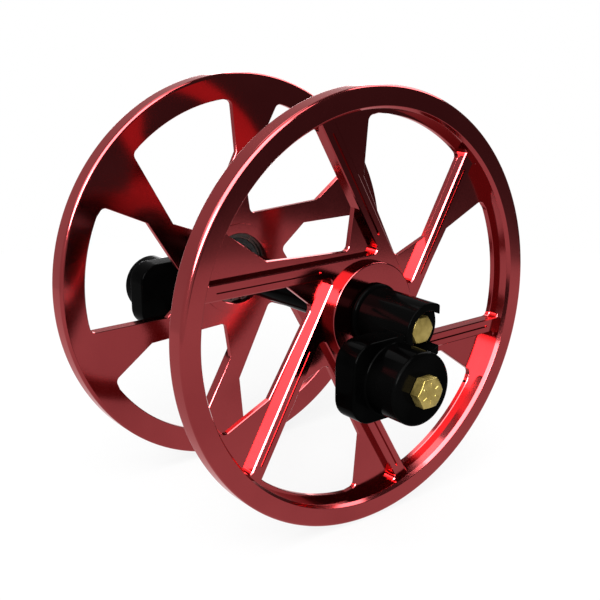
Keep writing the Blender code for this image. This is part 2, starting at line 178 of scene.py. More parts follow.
# Bolts and washer
AXLE_BOLT_FLATS = 0.0139
AXLE_BOLT_HEAD = (0.1076, 0.1123)
AXLE_BOLT_SHANK = 0.00475
AXLE_BOLT_TIP = 0.0810
WASHER_SPAN = (0.1063, 0.1073)
WASHER_RADIUS = 0.0105
MOUNT_BOLT_FLATS = 0.0152
MOUNT_BOLT_HEAD = (0.1368, 0.1429)
MOUNT_BOLT_SHANK = 0.00555
MOUNT_BOLT_TIP = 0.1080
BOLT_BEVEL = 0.0006
HEAD_CHAMFER = math.radians(24)
HEAD_FACE_SHARE = 0.97
MARK_COUNT = 6
MARK_SPAN = (0.0034, 0.0058)
MARK_WIDTH = 0.0006
MARK_HEIGHT = 0.00025
THREAD_PITCH = 0.0016
THREAD_DEPTH = 0.0004
THREAD_SHARE = 0.7
THREAD_STEPS = 64

# Clearance between neighbours, how far a cutter reaches past the face it cuts, and the
# distance under which two points of a finished mesh are one
GAP = 0.0003
BEYOND = 0.001
WELD = 0.0000002

# How finely round shapes are drawn, and the angle from which an edge looks sharp
ROUND_STEPS = 128
CORNER_STEPS = 4
FINE_CORNER = 8
FINE_ARC = 10
SHARP_ANGLE = math.radians(32)

# Each finish's darker and lighter tone, and its roughness from one to the other
RED_TONES = ((0.23, 0.032, 0.035, 1), (0.27, 0.040, 0.043, 1))
RED_ROUGHNESS = (0.09, 0.13)
RED_SPECKLE = (-0.01, 0.01)
RED_EDGE_TINT = (1.0, 0.7, 0.7, 1)
BLACK_TONES = ((0.0001, 0.0001, 0.0001, 1), (0.0004, 0.0004, 0.0004, 1))
BLACK_ROUGHNESS = (0.10, 0.16)
BLACK_GLOSS = 0.005
ZINC_TONES = ((0.27, 0.20, 0.055, 1), (0.34, 0.26, 0.080, 1))
ZINC_ROUGHNESS = (0.34, 0.46)
# The bearing steel's near-black tones are painted shade: they stand for the shade of the deep hub recess the
# bearing sits in.
STEEL_TONES_WITH_PAINTED_SHADE = ((0.060, 0.054, 0.050, 1), (0.085, 0.076, 0.070, 1))
STEEL_ROUGHNESS = (0.18, 0.3)
RUBBER_TONES = ((0.003, 0.003, 0.003, 1), (0.008, 0.008, 0.008, 1))
RUBBER_ROUGHNESS = (0.45, 0.6)
RUBBER_GLOSS = 0.06
BRONZE_TONES = ((0.42, 0.26, 0.10, 1), (0.56, 0.38, 0.18, 1))
BRONZE_ROUGHNESS = (0.3, 0.45)
WHITE = (1, 1, 1, 1)

# Stage. The floor glows a little, so that its shadows stay faint. A fade is given as
# where it starts and ends and its strength there. The room fades to dark towards the
# dark wall's azimuth and elevation, by the cosine of the angle to it, and is bright
# again below the horizon, by height
CAMERA_PLACE = (0.48865, -0.38045, 0.16784)
CAMERA_FORWARD = (-0.7554, 0.5955, -0.2735)
CAMERA_LENS = 62.33
CAMERA_NEAREST = 0.01
FLOOR_RADIUS = 0.72
FLOOR_DROP = 0.0002
FLOOR_TONE = (0.030, 0.030, 0.030, 1)
FLOOR_GLOW = 0.84
DARK_WALL = (60, 30)
DARK_RANGE = (0.26, 0.64, 0.85, 0.12)
GROUND_RANGE = (-0.15, -0.34, 0.0, 1.0)


# ---------------------------------------------------------------- shapes

def circle_point(x, radius, angle, centre=(0.0, 0.0)):
    return Vector((x, centre[0] + radius * math.cos(angle), centre[1] + radius * math.sin(angle)))


def arc(centre, radius, start, stop, steps):
    turns = [start + (stop - start) * k / steps for k in range(steps + 1)]
    return [(centre[0] + radius * math.cos(a), centre[1] + radius * math.sin(a)) for a in turns]


def fillet(before, corner, after, radius, steps):
    """Points of the arc that rounds a corner between two straight edges."""
    corner = Vector(corner)
    back = (Vector(before) - corner).normalized()
    ahead = (Vector(after) - corner).normalized()
    half = back.angle(ahead) / 2
    centre = corner + (back + ahead).normalized() * radius / math.sin(half)
    first = corner + back * radius / math.tan(half) - centre
    last = corner + ahead * radius / math.tan(half) - centre
    start = math.atan2(first.y, first.x)
    sweep = math.atan2(first.x * last.y - first.y * last.x, first.dot(last))
    return arc(centre, radius, start, start + sweep, steps)


def softened(profile, steps=CORNER_STEPS):
    """A profile of (x, radius, rounding) with its rounded corners as arcs."""
    points = []
    for k, (x, radius, rounding) in enumerate(profile):
        if rounding:
            before = profile[k - 1][:2]
            after = profile[(k + 1) % len(profile)][:2]
            points += fillet(before, (x, radius), after, rounding, steps)
        else:
            points.append((x, radius))
    return points


def inset(outline, distance):
    """The outline of a counter-clockwise polygon, moved inwards by a distance."""
    points = [Vector(point) for point in outline]
    moved = []
    for k, point in enumerate(points):
        into = (point - points[k - 1]).normalized()
        out = (points[(k + 1) % len(points)] - point).normalized()
        side_in = Vector((-into.y, into.x))
        side_out = Vector((-out.y, out.x))
        middle = (side_in + side_out).normalized()
        moved.append(tuple(point + middle * distance / middle.dot(side_in)))
    return moved


def turned_about_x(outline, angle):
    spin = Matrix.Rotation(angle, 2)
    return [tuple(spin @ Vector(point)) for point in outline]


def finish_mesh(name, bm):
    bmesh.ops.recalc_face_normals(bm, faces=bm.faces)
    mesh = bpy.data.meshes.new(name)
    bm.to_mesh(mesh)
    bm.free()
    return mesh


def turned(bm, profile, steps, centre=(0.0, 0.0)):
    """Add a solid of revolution about a line along X.

    A profile that starts and ends on the axis is open. Any other profile is a closed loop.
    """
    rings = []
    for x, radius in profile:
        count = steps if radius > 1e-9 else 1
        angles = [math.tau * k / steps for k in range(count)]
        rings.append([bm.verts.new(circle_point(x, radius, a, centre)) for a in angles])
    pairs = list(zip(rings, rings[1:]))
    if len(rings[0]) > 1 or len(rings[-1]) > 1:
        pairs.append((rings[-1], rings[0]))
    for ring_a, ring_b in pairs:
        for k in range(steps):
            corners = [ring_a[k % len(ring_a)], ring_a[(k + 1) % len(ring_a)],
                       ring_b[(k + 1) % len(ring_b)], ring_b[k % len(ring_b)]]
            distinct = list(dict.fromkeys(corners))
            if len(distinct) > 2:
                bm.faces.new(distinct)


def turned_mesh(name, profile, steps=ROUND_STEPS, centre=(0.0, 0.0)):
    bm = bmesh.new()
    turned(bm, profile, steps, centre)
    return finish_mesh(name, bm)


def lofted(bm, sections):
    """Add a solid whose sections are (x, outline) with equally many (y, z) points."""
    rings = [[bm.verts.new((x, y, z)) for y, z in outline] for x, outline in sections]
    bm.faces.new(rings[0])
    bm.faces.new(rings[-1])
    count = len(rings[0])
    for ring_a, ring_b in zip(rings, rings[1:]):
        for k in range(count):
            after = (k + 1) % count
            bm.faces.new((ring_a[k], ring_a[after], ring_b[after], ring_b[k]))


def lofted_mesh(name, sections):
    bm = bmesh.new()
    lofted(bm, sections)
    return finish_mesh(name, bm)


def crowned(outline, base, top, edge, steps=CORNER_STEPS):
    """Sections of a plate from x base to x top, its top edge rounded, or bevelled by one step."""
    sections = [(base, outline)]
    for k in range(steps + 1):
        turn = math.pi / 2 * k / steps
        across = edge * (1 - math.cos(turn))
        sections.append((top - edge + edge * math.sin(turn), inset(outline, across)))
    return sections


def boolean(obj, operation, mesh):
    """Join or cut obj with a mesh in the same place, and apply the result."""
    tool = bpy.data.objects.new(obj.name + "_tool", mesh)
    bpy.context.scene.collection.objects.link(tool)
    tool.matrix_world = obj.matrix_world
    step = obj.modifiers.new(operation.lower(), "BOOLEAN")
    step.operation = operation
    step.solver = "EXACT"
    step.object = tool
    evaluated = obj.evaluated_get(bpy.context.evaluated_depsgraph_get())
    result = bpy.data.meshes.new_from_object(evaluated)
    obj.modifiers.clear()
    obj.data = result
    bpy.data.objects.remove(tool, do_unlink=True)


def blank(name, mesh):
    """A work piece for booleans."""
    obj = bpy.data.objects.new(name, mesh)
    bpy.context.scene.collection.objects.link(obj)
    return obj


def taken(obj):
    """The finished mesh of a work piece, which is removed. Points closer than WELD are joined."""
    bm = bmesh.new()
    bm.from_mesh(obj.data)
    bmesh.ops.remove_doubles(bm, verts=bm.verts, dist=WELD)
    bmesh.ops.dissolve_degenerate(bm, edges=bm.edges, dist=WELD)
    mesh = finish_mesh(obj.name + "_made", bm)
    bpy.data.objects.remove(obj, do_unlink=True)
    return mesh


def mirrored(name, mesh):
    bm = bmesh.new()
    bm.from_mesh(mesh)
    bmesh.ops.transform(bm, matrix=Matrix.Diagonal((-1.0, 1.0, 1.0, 1.0)), verts=bm.verts)
    bmesh.ops.reverse_faces(bm, faces=bm.faces)
    made = bpy.data.meshes.new(name)
    bm.to_mesh(made)
    bm.free()
    return made


# ---------------------------------------------------------------- pieces

def slot_of(node):
    return next(s["material_slot"] for s in frame["record"]["subparts"] if s["node"] == node)


def body_of(node):
    bodies = frame["record"]["behaviour"]["bodies"]
    return next(body for body, nodes in bodies.items() if node in nodes)


def add_piece(node, mesh, finish, place=(0, 0, 0), turn=0.0):
    """Add a fine piece that stands for a CAD node and rides on its body."""
    piece = bpy.data.objects.new(node + "_shape", mesh)
    bpy.context.scene.collection.objects.link(piece)
    piece.location = place
    piece.rotation_euler = (0, 0, turn)
    mesh.materials.clear()
    mesh.materials.append(finish)
    mesh.shade_smooth()
    mesh.set_sharp_from_angle(angle=SHARP_ANGLE)
    weighted = piece.modifiers.new("weighted", "WEIGHTED_NORMAL")
    weighted.keep_sharp = True
    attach(piece, body_of(node))
    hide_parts(node)
    return piece


def both_sides(piece, mesh, finish, origin_x=0.0):
    """Add the right piece from a mesh about its origin, and its mirror image on the left."""
    add_piece("right_" + piece, mesh, finish, (origin_x, 0, 0))
    add_piece("left_" + piece, mirrored("left_" + piece, mesh), finish, (-origin_x, 0, 0))


def scaled(points):
    return [(y * WHEEL_RADIUS, z * WHEEL_RADIUS) for y, z in points]


def window_outline():
    """One window, counter-clockwise seen from +X on the right wheel."""
    foot, nose, shoulder, tip = scaled([WINDOW_FOOT, WINDOW_NOSE, WINDOW_SHOULDER, WINDOW_TIP])
    rim = WINDOW_RIM * WHEEL_RADIUS
    low_angle = math.asin(foot[1] / rim)
    high_angle = math.atan2(tip[1], tip[0])
    low = (rim * math.cos(low_angle), foot[1])
    near_low = circle_point(0, rim, low_angle + 2 * WINDOW_CORNER_TURN)
    near_high = circle_point(0, rim, high_angle - 2 * WINDOW_CORNER_TURN)
    points = [foot]
    points += fillet(foot, low, near_low.yz, WINDOW_FILLET, FINE_ARC)
    points += arc((0, 0), rim, low_angle + WINDOW_CORNER_TURN, high_angle - WINDOW_CORNER_TURN,
                  WINDOW_ARC_STEPS)
    points += fillet(near_high.yz, tip, shoulder, WINDOW_FILLET, FINE_ARC)
    points.append(shoulder)
    points += fillet(shoulder, nose, foot, WINDOW_FILLET, FINE_ARC)
    return points


def spoke_angles():
    return [math.tau * k / WHEEL_SPOKES for k in range(WHEEL_SPOKES)]


def rim_fillet(side, direction):
    """The arc from a rib's long side into the rim's wall, and on into the rim's solid."""
    radius = RIB_END_FILLET
    wall = RIM_WALL_RADIUS
    height = side + direction * radius
    centre = (math.sqrt((wall - radius) ** 2 - height ** 2), height)
    touch = math.atan2(centre[1], centre[0])
    start = -direction * math.pi / 2
    beside = touch + direction * RIB_END_WING
    hidden = [circle_point(0, r, beside).yz[:] for r in (wall + GAP, RIB_REACH * WHEEL_RADIUS)]
    return arc(centre, radius, start, touch, RIB_FILLET_STEPS) + hidden


def rib_star():
    """The ribs' outline: six bars, each ending on the side of the next one."""
    window_side = WINDOW_STRAIGHT * WHEEL_RADIUS - RIB_INSET
    web_side = WINDOW_STRAIGHT * WHEEL_RADIUS - RIB_WIDTH
    reach = RIB_REACH * WHEEL_RADIUS
    pitch = math.tau / WHEEL_SPOKES
    meeting = (window_side - web_side * math.cos(pitch)) / math.sin(pitch)
    before = turned_about_x([(reach, window_side)], -pitch)[0]
    bar = fillet(before, (meeting, web_side), (reach, web_side), RIB_MEETING_FILLET, RIB_FILLET_STEPS)
    bar += rim_fillet(web_side, -1) + rim_fillet(window_side, 1)[::-1]
    outline = []
    for angle in spoke_angles():
        outline += turned_about_x(bar, angle)
    return outline


def groove_outline():
    height = WINDOW_STRAIGHT * WHEEL_RADIUS - RIB_WIDTH / 2
    start, stop = (value * WHEEL_RADIUS for value in GROOVE_SPAN)
    half = GROOVE_WIDTH / 2
    near = arc((start, height), half, math.pi / 2, 3 * math.pi / 2, FINE_ARC)
    far = arc((stop, height), half, -math.pi / 2, math.pi / 2, FINE_ARC)
    return near + far


def repeated(name, sections):
    """One mesh with the same loft at every spoke."""
    bm = bmesh.new()
    for angle in spoke_angles():
        lofted(bm, [(x - BEARING_X, turned_about_x(outline, angle)) for x, outline in sections])
    return finish_mesh(name, bm)


def about_bearing(profile):
    return [(x - BEARING_X, radius) for x, radius in profile]


def wheel_profile():
    pad = WHEEL_INNER_FACE - HUB_PAD_HEIGHT
    edge = TURNED_EDGE
    return softened([
        (pad, 0.0, 0), (pad, HUB_PAD_RADIUS, edge / 2), (WHEEL_INNER_FACE, HUB_PAD_RADIUS, 0),
        (WHEEL_INNER_FACE, WHEEL_RADIUS, RIM_BACK_ROUND),
        (WHEEL_OUTER_FACE, WHEEL_RADIUS, RIM_FRONT_ROUND),
        (WHEEL_OUTER_FACE, RIM_FACE_RADIUS, edge),
        (WHEEL_OUTER_FACE - RIM_INNER_BEVEL, RIM_WALL_RADIUS, edge),
        (WEB_FACE, RIM_WALL_RADIUS, 0), (WEB_FACE, HUB_RADIUS, HUB_FOOT),
        (WHEEL_OUTER_FACE, HUB_RADIUS, HUB_EDGE), (WHEEL_OUTER_FACE, 0.0, 0)], FINE_CORNER)


def hub_bore_profile():
    pad = WHEEL_INNER_FACE - HUB_PAD_HEIGHT
    bore = BEARING_OUTSIDE + GAP
    groove = (CLIP_SPAN[0] - GAP, CLIP_SPAN[1] + GAP)
    lip = WHEEL_OUTER_FACE - LIP_THICKNESS
    lead = TURNED_EDGE
    return [(pad - BEYOND, 0.0), (pad - BEYOND, bore + lead + BEYOND), (pad + lead, bore),
            (groove[0], bore), (groove[0], SNAP_GROOVE), (groove[1], SNAP_GROOVE),
            (groove[1], bore), (lip, bore), (lip, LIP_BORE),
            (WHEEL_OUTER_FACE - lead, LIP_BORE),
            (WHEEL_OUTER_FACE + BEYOND, LIP_BORE + lead + BEYOND),
            (WHEEL_OUTER_FACE + BEYOND, 0.0)]


def wheel_mesh():
    wheel = blank("wheel_blank", turned_mesh("wheel", about_bearing(wheel_profile()), WHEEL_STEPS))
    window = window_outline()
    edge = WINDOW_EDGE
    wide = inset(window, -edge - BEYOND)
    windows = [(WHEEL_INNER_FACE - BEYOND, wide), (WHEEL_INNER_FACE + edge, window),
               (WEB_FACE - edge, window), (WEB_FACE + BEYOND, wide)]
    boolean(wheel, "DIFFERENCE", repeated("windows", windows))
    foot = (WHEEL_INNER_FACE + WEB_FACE) / 2
    ribs = crowned(rib_star(), foot, RIB_TOP, RIB_EDGE, 1)
    boolean(wheel, "UNION", lofted_mesh("ribs", [(x - BEARING_X, line) for x, line in ribs]))
    line = groove_outline()
    grooves = [(RIB_TOP - GROOVE_DEPTH, line), (RIB_TOP + BEYOND, line)]
    boolean(wheel, "DIFFERENCE", repeated("grooves", grooves))
    boolean(wheel, "DIFFERENCE", turned_mesh("hub_bore", about_bearing(hub_bore_profile())))
    return taken(wheel)


def make_wheels(finish):
    mesh = wheel_mesh()
    add_piece("right_wheel", mesh, finish, (BEARING_X, 0, 0))
    add_piece("left_wheel", mesh.copy(), finish, (-BEARING_X, 0, 0), math.pi)


def race_profile(plain, shoulder, bulge):
    """A bearing ring's closed profile, with a round ball groove in its shoulder.

    The groove bulges away from the axle where bulge is 1, and towards it where it is -1.
    """
    half = BEARING_HALF_WIDTH
    edge = TURNED_EDGE
    start = bulge * math.pi / 2 + BALL_GROOVE_TURN
    groove = sorted(arc((0, BEARING_PITCH), BALL_GROOVE, start, start - 2 * BALL_GROOVE_TURN, FINE_CORNER))
    near = softened([(-half, shoulder, edge / 2), (0, shoulder, 0), (0, plain, 0), (-half, plain, edge)])
    corner = CORNER_STEPS + 1
    entry, leave = near[:corner], near[-corner:]
    other_leave = [(-x, radius) for x, radius in reversed(entry)]
    other_entry = [(-x, radius) for x, radius in reversed(leave)]
    return entry + groove + other_leave + other_entry + leave


def make_bearing_rings(finish):
    inner = race_profile(BEARING_BORE, INNER_SHOULDER, -1)
    outer = race_profile(BEARING_OUTSIDE, OUTER_SHOULDER, 1)
    both_sides("bearing_inner_ring", turned_mesh("inner_ring", inner), finish, BEARING_X)
    both_sides("bearing_outer_ring", turned_mesh("outer_ring", outer), finish, BEARING_X)


def make_seals(finish):
    """Rubber seals with a shallow ridge round the middle."""
    low, high = INNER_SHOULDER + GAP, OUTER_SHOULDER - GAP
    middle = (low + high) / 2
    near, far = SEAL_SPAN
    step = GAP / 2
    outer = softened([
        (near, low, 0), (far - step, low, step), (far - step, middle - 3 * step, 0),
        (far, middle - 2 * step, step), (far, middle + 2 * step, step),
        (far - step, middle + 3 * step, 0), (far - step, high, step), (near, high, 0)])
    inner = [(-x, radius) for x, radius in outer]
    both_sides("bearing_outer_seal", turned_mesh("outer_seal", outer), finish, BEARING_X)
    both_sides("bearing_inner_seal", turned_mesh("inner_seal", inner), finish, BEARING_X)


def snap_ring_outline(inside, outside, eye):
    """A spring ring open at its lowest point, with a round eye centred at each end."""
    outer_eyes = eye > outside
    edge, plain = (outside, inside) if outer_eyes else (inside, outside)
    top = math.pi / 2
    start = -top + CLIP_OPENING / 2
    beside = math.acos((edge ** 2 + eye ** 2 - CLIP_EYE ** 2) / (2 * edge * eye))
    centre = circle_point(0, eye, start).yz
    meeting = circle_point(0, edge, start + beside).yz - centre
    last = math.atan2(meeting.y, meeting.x)
    first = start - math.pi if outer_eyes else start
    sweep = (last - first) % math.tau if outer_eyes else -((first - last) % math.tau)
    right = arc((0, 0), plain, top, start, CLIP_STEPS)
    right += arc(centre, CLIP_EYE, first, first + sweep, CLIP_EYE_STEPS)
    right += arc((0, 0), edge, start + beside, top, CLIP_STEPS)[1:]
    left = [(-y, z) for y, z in reversed(right[1:-1])]
    return right + left


def snap_ring_mesh(name, inside, outside, eye):
    outline = snap_ring_outline(inside, outside, eye)
    ring = blank(name, lofted_mesh(name, [(x - BEARING_X, outline) for x in CLIP_SPAN]))
    low, high = CLIP_SPAN[0] - BEARING_X - BEYOND, CLIP_SPAN[1] - BEARING_X + BEYOND
    hole = [(low, 0.0), (low, CLIP_EYE_HOLE), (high, CLIP_EYE_HOLE), (high, 0.0)]
    for side in (-1, 1):
        centre = circle_point(0, eye, -math.pi / 2 + side * CLIP_OPENING / 2).yz
        boolean(ring, "DIFFERENCE", turned_mesh("eye", hole, CLIP_HOLE_STEPS, centre))
    return taken(ring)


def make_snap_rings(finish):
    axle_ring = snap_ring_mesh("axle_ring", *AXLE_CLIP, AXLE_CLIP[1] + CLIP_EYE / 3)
    both_sides("axle_snap_ring", axle_ring, finish, BEARING_X)
    hub_ring = snap_ring_mesh("hub_ring", *HUB_CLIP, HUB_CLIP[0] - CLIP_EYE / 3)
    both_sides("hub_snap_ring", hub_ring, finish, BEARING_X)


def make_shaft(finish):
    floor = SHAFT_GROOVE_FLOOR
    groove = (CLIP_SPAN[0] - GAP, CLIP_SPAN[1] + GAP)
    half = softened([
        (SHAFT_THREAD_END, 0.0, 0), (SHAFT_THREAD_END, SHAFT_THREAD_RADIUS, 0),
        (SHAFT_END, SHAFT_THREAD_RADIUS, GAP), (SHAFT_END, SHAFT_RADIUS, SHAFT_EDGE),
        (groove[1], SHAFT_RADIUS, 0), (groove[1], floor, 0), (groove[0], floor, 0),
        (groove[0], SHAFT_RADIUS, 0)])
    other = [(-x, radius) for x, radius in reversed(half)]
    add_piece("axle_shaft", turned_mesh("shaft", half + other), finish)


def make_collars(finish):
    start, stop = COLLAR_SPAN
    edge = (stop - COLLAR_FLANGE_X) * COLLAR_EDGE_SHARE
    profile = softened([
        (start, BEARING_BORE, GAP), (start, COLLAR_SPIGOT, GAP), (COLLAR_FLANGE_X, COLLAR_SPIGOT, 0),
        (COLLAR_FLANGE_X, COLLAR_RADIUS, edge), (stop, COLLAR_RADIUS, edge),
        (stop, BEARING_BORE, GAP)], FINE_CORNER)
    both_sides("axle_collar", turned_mesh("collar", profile, WHEEL_STEPS // 2), finish)


def block_outline():
    low_y, high_y = BLOCK_Y
    low_z, high_z = BLOCK_Z
    r = BLOCK_CORNER
    quarter = math.pi / 2
    corners = [(high_y - r, high_z - r, 0), (low_y + r, high_z - r, 1),
               (low_y + r, low_z + r, 2), (high_y - r, low_z + r, 3)]
    points = []
    for y, z, turn in corners:
        points += arc((y, z), r, turn * quarter, (turn + 1) * quarter, FINE_ARC)
    return points


def box_outline(y_span, z_span):
    return [(y_span[0], z_span[0]), (y_span[1], z_span[0]), (y_span[1], z_span[1]), (y_span[0], z_span[1])]


def bracket_mesh():
    start, stop = BOSS_SPAN
    boss = softened([(start, 0.0, 0), (start, BOSS_RADIUS, BOSS_EDGE), (stop, BOSS_RADIUS, BOSS_EDGE),
                     (stop, 0.0, 0)])
    bracket = blank("bracket_blank", turned_mesh("bracket", boss))
    back, front = BLOCK_X
    rounded = crowned(block_outline(), (back + front) / 2, front, BLOCK_EDGE)
    other = [(back + front - x, outline) for x, outline in rounded[:0:-1]]
    boolean(bracket, "UNION", lofted_mesh("block", other + rounded[1:]))
    inner = front - LOWER_FOOT
    lower = softened([(inner, 0.0, 0), (inner, LOWER_RADIUS + LOWER_FOOT, 0),
                      (front, LOWER_RADIUS + LOWER_FOOT, 0),
                      (front, LOWER_RADIUS, LOWER_FOOT * LOWER_FOOT_SHARE),
                      (LOWER_FRONT, LOWER_RADIUS, LOWER_EDGE), (LOWER_FRONT, 0.0, 0)], LOWER_STEPS)
    boolean(bracket, "UNION", turned_mesh("lower_boss", lower, ROUND_STEPS, LOWER_CENTRE))
    bore = SHAFT_RADIUS + GAP
    step = SHAFT_END + GAP
    hole = [(start - BEYOND, 0.0), (start - BEYOND, bore), (step, bore), (step, BOLT_CLEARANCE),
            (BOSS_FLOOR, BOLT_CLEARANCE), (BOSS_FLOOR, POCKET_BORE),
            (stop - GAP, POCKET_BORE), (stop + BEYOND, POCKET_BORE + GAP + BEYOND),
            (stop + BEYOND, 0.0)]
    boolean(bracket, "DIFFERENCE", turned_mesh("boss_hole", hole))
    reach = BOSS_RADIUS + BEYOND
    opening = box_outline((OPENING_Y, reach), (-reach, reach))
    span = (BOSS_FLOOR, stop + BEYOND)
    boolean(bracket, "DIFFERENCE", lofted_mesh("opening", [(x, opening) for x in span]))
    thread = [(LOWER_THREAD_END, 0.0), (LOWER_THREAD_END, LOWER_THREAD_RADIUS),
              (LOWER_FRONT + BEYOND, LOWER_THREAD_RADIUS), (LOWER_FRONT + BEYOND, 0.0)]
    boolean(bracket, "DIFFERENCE", turned_mesh("lower_hole", thread, THREAD_STEPS, LOWER_CENTRE))
    return taken(bracket)


def threaded_profile(tip, start, radius, bevel):
    """A bolt's shank profile from its tip to x start, with ridges along its threaded part."""
    profile = [(tip, 0.0), (tip, radius - bevel)]
    turns = int((start - tip) * THREAD_SHARE / THREAD_PITCH)
    for k in range(turns):
        x = tip + bevel + k * THREAD_PITCH
        profile += [(x, radius - THREAD_DEPTH), (x + THREAD_PITCH / 2, radius)]
    x = tip + bevel + turns * THREAD_PITCH
    return profile + [(x, radius - THREAD_DEPTH), (x + THREAD_PITCH / 2, radius), (start, radius),
                      (start, 0.0)]


def bolt_mesh(name, flats, head, shank_radius, tip, centre=(0.0, 0.0), marks=False):
    """A hex bolt along X with its head at +X."""
    base, top = head
    corner = flats / math.sqrt(3)
    hexagon = arc(centre, corner, 0, math.tau, 6)[:-1]
    bolt = blank(name, lofted_mesh(name, [(base, hexagon), (top, hexagon)]))
    face = flats / 2 * HEAD_FACE_SHARE
    drop = (corner + BEYOND - face) * math.tan(HEAD_CHAMFER)
    cone = [(base - BEYOND, 0.0), (base - BEYOND, corner + BEYOND), (top - drop, corner + BEYOND),
            (top, face), (top, 0.0)]
    boolean(bolt, "INTERSECT", turned_mesh(name + "_cone", cone, ROUND_STEPS, centre))
    inside = (base + top) / 2
    shank = threaded_profile(tip, inside, shank_radius, BOLT_BEVEL)
    boolean(bolt, "UNION", turned_mesh(name + "_shank", shank, THREAD_STEPS, centre))
    if marks:
        start, stop = MARK_SPAN
        half = MARK_WIDTH / 2
        bar = box_outline((start, stop), (-half, half))
        bars = bmesh.new()
        for k in range(MARK_COUNT):
            outline = turned_about_x(bar, math.tau * (k + 0.5) / MARK_COUNT)
            moved = [(y + centre[0], z + centre[1]) for y, z in outline]
            low = (top - MARK_HEIGHT, moved)
            lofted(bars, [low, (top + MARK_HEIGHT / 2, moved), (top + MARK_HEIGHT, inset(moved, half / 3))])
        boolean(bolt, "UNION", finish_mesh(name + "_marks", bars))
    return taken(bolt)


def make_bolts(finish):
    axle = bolt_mesh("axle_bolt", AXLE_BOLT_FLATS, AXLE_BOLT_HEAD, AXLE_BOLT_SHANK, AXLE_BOLT_TIP)
    both_sides("axle_bolt", axle, finish)
    mount = bolt_mesh("mount_bolt", MOUNT_BOLT_FLATS, MOUNT_BOLT_HEAD, MOUNT_BOLT_SHANK,
                      MOUNT_BOLT_TIP, LOWER_CENTRE, marks=True)
    both_sides("mount_bolt", mount, finish)


def make_washers(finish):
    start, stop = WASHER_SPAN
    edge = GAP / 2
    profile = softened([(start, BOLT_CLEARANCE, edge), (stop, BOLT_CLEARANCE, edge),
                        (stop, WASHER_RADIUS, edge), (start, WASHER_RADIUS, edge)])
    both_sides("axle_bolt_washer", turned_mesh("washer", profile), finish)


# ---------------------------------------------------------------- materials

class Nodes:
    """A material's node tree, with short calls for the nodes used here."""

    def __init__(self, name):
        self.material = bpy.data.materials.new(name)
        self.material.use_nodes = True
        self.tree = self.material.node_tree
        self.shader = self.tree.nodes["Principled BSDF"]
        self.place = self.tree.nodes.new("ShaderNodeTexCoord").outputs["Object"]

    def add(self, kind, inputs, **settings):
        node = self.tree.nodes.new(kind)
        for name, value in settings.items():
            setattr(node, name, value)
        for name, value in inputs.items():
            self.feed(node.inputs[name], value)
        return node

    def feed(self, socket, value):
        if isinstance(value, bpy.types.NodeSocket):
            self.tree.links.new(value, socket)
        else:
            socket.default_value = value

    def noise(self, scale, detail=3.0, stretch=(1, 1, 1)):
        moved = self.add("ShaderNodeMapping", {"Vector": self.place, "Scale": stretch})
        made = self.add("ShaderNodeTexNoise", {"Vector": moved.outputs[0], "Scale": scale, "Detail": detail})
        return made.outputs["Fac"]

    def ranged(self, value, low, high, start=0.35, stop=0.65):
        made = self.add("ShaderNodeMapRange", {"Value": value, "From Min": start, "From Max": stop,
                                               "To Min": low, "To Max": high})
        return made.outputs["Result"]

    def radius(self):
        """Distance from the axle's line."""
        parts = self.add("ShaderNodeSeparateXYZ", {"Vector": self.place})
        flat = self.add("ShaderNodeCombineXYZ", {"Y": parts.outputs["Y"], "Z": parts.outputs["Z"]})
        return self.add("ShaderNodeVectorMath", {0: flat.outputs[0]}, operation="LENGTH").outputs["Value"]

    def mixed(self, share, first, second):
        made = self.add("ShaderNodeMix", {0: share}, data_type="RGBA")
        self.feed(made.inputs[6], first)
        self.feed(made.inputs[7], second)
        return made.outputs[2]

    def toned(self, share, tones):
        return self.mixed(self.ranged(share, 0, 1), *tones)

    def math(self, operation, first, second=0.0):
        return self.add("ShaderNodeMath", {0: first, 1: second}, operation=operation).outputs[0]

    def bump(self, height, strength, distance, normal=None):
        inputs = {"Height": height, "Strength": strength, "Distance": distance}
        if normal is not None:
            inputs["Normal"] = normal
        return self.add("ShaderNodeBump", inputs).outputs["Normal"]

    def rounded_edges(self, radius):
        return self.add("ShaderNodeBevel", {"Radius": radius}, samples=6).outputs["Normal"]

    def shade(self, **values):
        for name, value in values.items():
            self.feed(self.shader.inputs[name.replace("_", " ").title().replace("Ior", "IOR")], value)
        return self.material


def turning_marks(nodes, pitch, wander):
    """Height of the fine rings that a lathe leaves, 0 to 1."""
    wobble = nodes.math("MULTIPLY", nodes.noise(60, 2.0), wander)
    phase = nodes.math("MULTIPLY", nodes.math("ADD", nodes.radius(), wobble), math.tau / pitch)
    return nodes.math("SINE", phase)


def red_anodised():
    nodes = Nodes("red_anodised")
    cloud = nodes.noise(14, 4.0)
    colour = nodes.toned(cloud, RED_TONES)
    speckle = nodes.noise(900, 2.0)
    roughness = nodes.math("ADD", nodes.ranged(cloud, *RED_ROUGHNESS), nodes.ranged(speckle, *RED_SPECKLE))
    marks = nodes.bump(turning_marks(nodes, 0.00045, 0.0004), 0.05, 0.00001)
    grain = nodes.bump(speckle, 0.05, 0.00002, marks)
    return nodes.shade(base_color=colour, metallic=1.0, roughness=roughness, normal=grain,
                       specular_tint=RED_EDGE_TINT)


def gloss_black():
    nodes = Nodes("gloss_black")
    cloud = nodes.noise(30, 3.0)
    colour = nodes.toned(cloud, BLACK_TONES)
    peel = nodes.bump(nodes.noise(420, 2.0), 0.06, 0.00004, nodes.rounded_edges(0.0004))
    return nodes.shade(base_color=colour, metallic=0.0, roughness=nodes.ranged(cloud, *BLACK_ROUGHNESS),
                       specular_ior_level=BLACK_GLOSS, normal=peel)


def yellow_zinc():
    nodes = Nodes("yellow_zinc")
    cloud = nodes.noise(220, 4.0)
    colour = nodes.toned(cloud, ZINC_TONES)
    grain = nodes.bump(nodes.noise(1500, 3.0), 0.12, 0.00003, nodes.rounded_edges(0.0003))
    return nodes.shade(base_color=colour, metallic=1.0, roughness=nodes.ranged(cloud, *ZINC_ROUGHNESS),
                       normal=grain)


